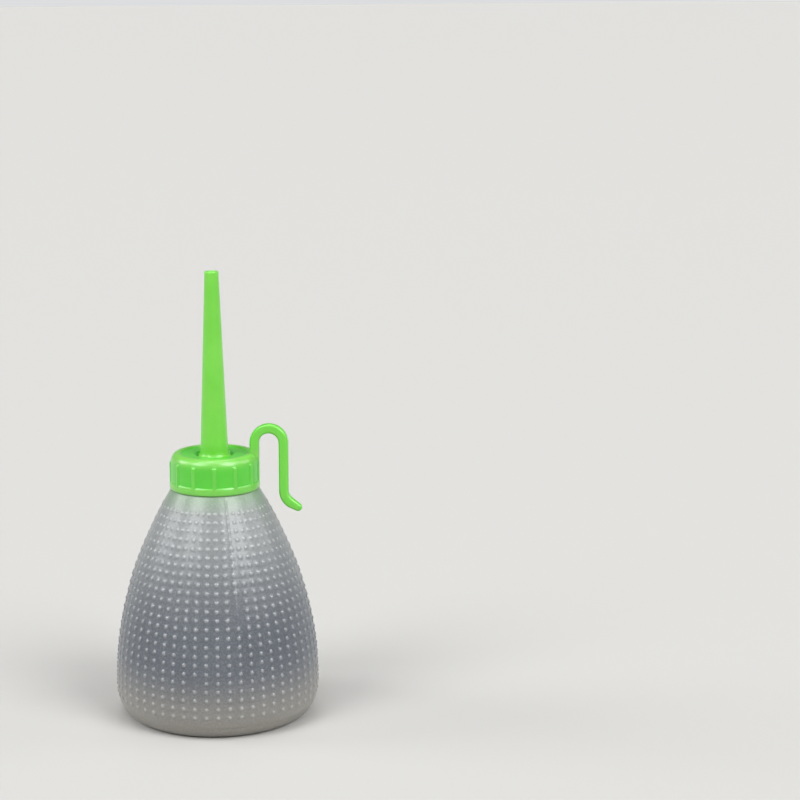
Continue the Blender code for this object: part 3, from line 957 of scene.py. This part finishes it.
def cap_painted_light(nodes, place, colour):
    """Paints light into the cap's colour: highlights on its rounded rim, ribs and bead, and a glow of light
    let through its thin hook.
    """
    across, back, height = nodes.axes(place)
    flat = nodes.node("ShaderNodeCombineXYZ", {"X": across, "Y": back}).outputs["Vector"]
    radius = nodes.node("ShaderNodeVectorMath", {0: flat}, operation="LENGTH").outputs["Value"]
    # painted highlights on the rounded rim, the ribs and the bead
    upper = nodes.spread(height, RIB_TOP - 1.6 * MM, CAP_TOP - 1 * MM, 0.0, RIM_HIGHLIGHT)
    outside_dish = nodes.spread(radius, DISH_EDGE_RADIUS - 0.4 * MM, DISH_EDGE_RADIUS + 0.4 * MM)
    rim = nodes.maths("MULTIPLY", upper, outside_dish)
    ribs = nodes.spread(radius, CAP_RADIUS + 0.05 * MM, CAP_RADIUS + RIB_PROUD, 0.0, RIB_HIGHLIGHT)
    bead_top = CAP_BOTTOM + BEAD_HEIGHT
    bead = nodes.spread(height, bead_top + 0.3 * MM, bead_top - 0.4 * MM, 0.0, BEAD_HIGHLIGHT)
    edges = nodes.maths("MAXIMUM", nodes.maths("MAXIMUM", ribs, bead), rim)
    # painted glow where light comes through the thin hook, beside and above the cap
    beside = nodes.spread(across, *HOOK_GLOW_PLACES)
    above = nodes.spread(height, *HOOK_GLOW_HEIGHTS)
    return nodes.blend(nodes.maths("MAXIMUM", beside, above), nodes.blend(edges, colour, CAP_PAINTED_HIGHLIGHT), HOOK_PAINTED_GLOW)


def green_plastic(name, deep, light, roughness, shade=None):
    """Glossy green plastic that varies between two shades and lets some light in.

    If given, shade(nodes, place, colour) paints light into its colour from place to place."""
    material, shader, nodes = new_material(name)
    place = nodes.place()
    cloud = nodes.noise(place, 90, 2)
    grain = nodes.noise(place, 1500, 2)
    colour = nodes.blend(nodes.spread(cloud, 0.3, 0.7), deep, light)
    if shade:
        colour = shade(nodes, place, colour)
    nodes.feed(shader, {
        "Base Color": colour,
        "Roughness": nodes.spread(grain, 0.3, 0.7, roughness - 0.04, roughness + 0.05),
        "Normal": nodes.bump(grain, 0.2, 0.03 * MM),
        "Subsurface Weight": 0.5,
        "Subsurface Radius": (0.5, 1.0, 0.35),
        "Subsurface Scale": 2.0 * MM,
        "Specular IOR Level": 0.75,
        "Coat Weight": 0.75,
        "Coat Roughness": 0.3,
        "IOR": 1.49,
    })
    return material


def washer_rubber():
    """Dull, pale and slightly uneven."""
    material, shader, nodes = new_material("washer_rubber_surface")
    cloud = nodes.noise(nodes.place(), 400, 4)
    nodes.feed(shader, {
        "Base Color": nodes.blend(nodes.spread(cloud, 0.3, 0.7), WASHER_DEEP, WASHER_LIGHT),
        "Roughness": 0.7,
        "Normal": nodes.bump(cloud, 0.2, 0.05 * MM),
    })
    return material


# ---------------------------------------------------------------- stage, light and camera


def make_floor():
    """A plain pale floor, just below the bottle."""
    bpy.ops.mesh.primitive_plane_add(size=400.0, location=(0, 0, -0.05 * MM))
    floor = bpy.context.object
    floor.name = "pale_floor"
    material, shader, nodes = new_material("pale_floor_paint")
    nodes.feed(shader, {"Base Color": FLOOR_COLOUR, "Roughness": 0.9, "Specular IOR Level": 0.1})
    floor.data.materials.append(material)


def make_world():
    """Dim all round, brighter behind, where a pale band along the horizon carries on the floor."""
    world = bpy.data.worlds.new("studio")
    bpy.context.scene.world = world
    world.use_nodes = True
    nodes = Nodes(world.node_tree)
    _, back, height = nodes.axes(nodes.node("ShaderNodeTexCoord", {}).outputs["Generated"])
    horizon = nodes.spread(height, 0.10, 0.02, 0.0, WORLD_HORIZON)
    low_down = nodes.spread(height, 0.85, 0.45, 0.0, WORLD_BEHIND)
    behind = nodes.maths("MULTIPLY", nodes.spread(back, 0.35, 0.75), low_down)
    strength = nodes.maths("ADD", nodes.maths("MAXIMUM", horizon, behind), WORLD_ALL_ROUND)
    nodes.feed(world.node_tree.nodes["Background"], {"Color": WORLD_COLOUR, "Strength": strength})


def far_light(name, way, strength, width):
    """A soft light so far off that it is the same all over the floor. The way points to it."""
    data = bpy.data.lights.new(name, "SUN")
    data.energy = strength
    data.angle = math.radians(width)
    lamp = bpy.data.objects.new(name, data)
    bpy.context.scene.collection.objects.link(lamp)
    lamp.rotation_euler = Vector(way).to_track_quat("Z", "Y").to_euler()


def make_camera():
    """The camera, in front of the bottle, a little above it and to its right."""
    data = bpy.data.cameras.new("camera")
    data.sensor_width = 36
    data.lens = CAMERA_LENS
    data.shift_x = CAMERA_SHIFT
    data.clip_start = 10 * MM
    camera = bpy.data.objects.new("camera", data)
    bpy.context.scene.collection.objects.link(camera)
    turn = Euler((math.pi / 2 - CAMERA_PITCH, 0, CAMERA_YAW)).to_matrix().to_4x4()
    camera.matrix_world = Matrix.Translation(CAMERA_PLACE) @ turn @ Matrix.Rotation(CAMERA_ROLL, 4, "Z")
    bpy.context.scene.camera = camera


# ---------------------------------------------------------------- the whole


def finish_piece(piece, body, node, material):
    """Gives a piece its material, puts it under its body, and hides the CAD part that it takes the place of.
    """
    piece.data.materials.clear()
    piece.data.materials.append(material)
    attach(piece, body)
    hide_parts(node)


make_camera()
cap_green = green_plastic("green_cap_surface", CAP_DEEP, CAP_LIGHT, 0.38, cap_painted_light)
spout_green = green_plastic("green_spout_surface", SPOUT_DEEP, SPOUT_LIGHT, 0.4)
finish_piece(make_bottle(), "bottle_body", "bottle", milky_polythene())
finish_piece(make_cap(), "cap_body", "screw_cap", cap_green)
finish_piece(make_spout(), "spout_body", "spout", spout_green)
finish_piece(make_washer(), "spout_body", "sealing_washer", washer_rubber())
make_floor()
make_world()
for light in LIGHTS:
    far_light(*light)
bpy.context.scene.view_settings.view_transform = "Standard"
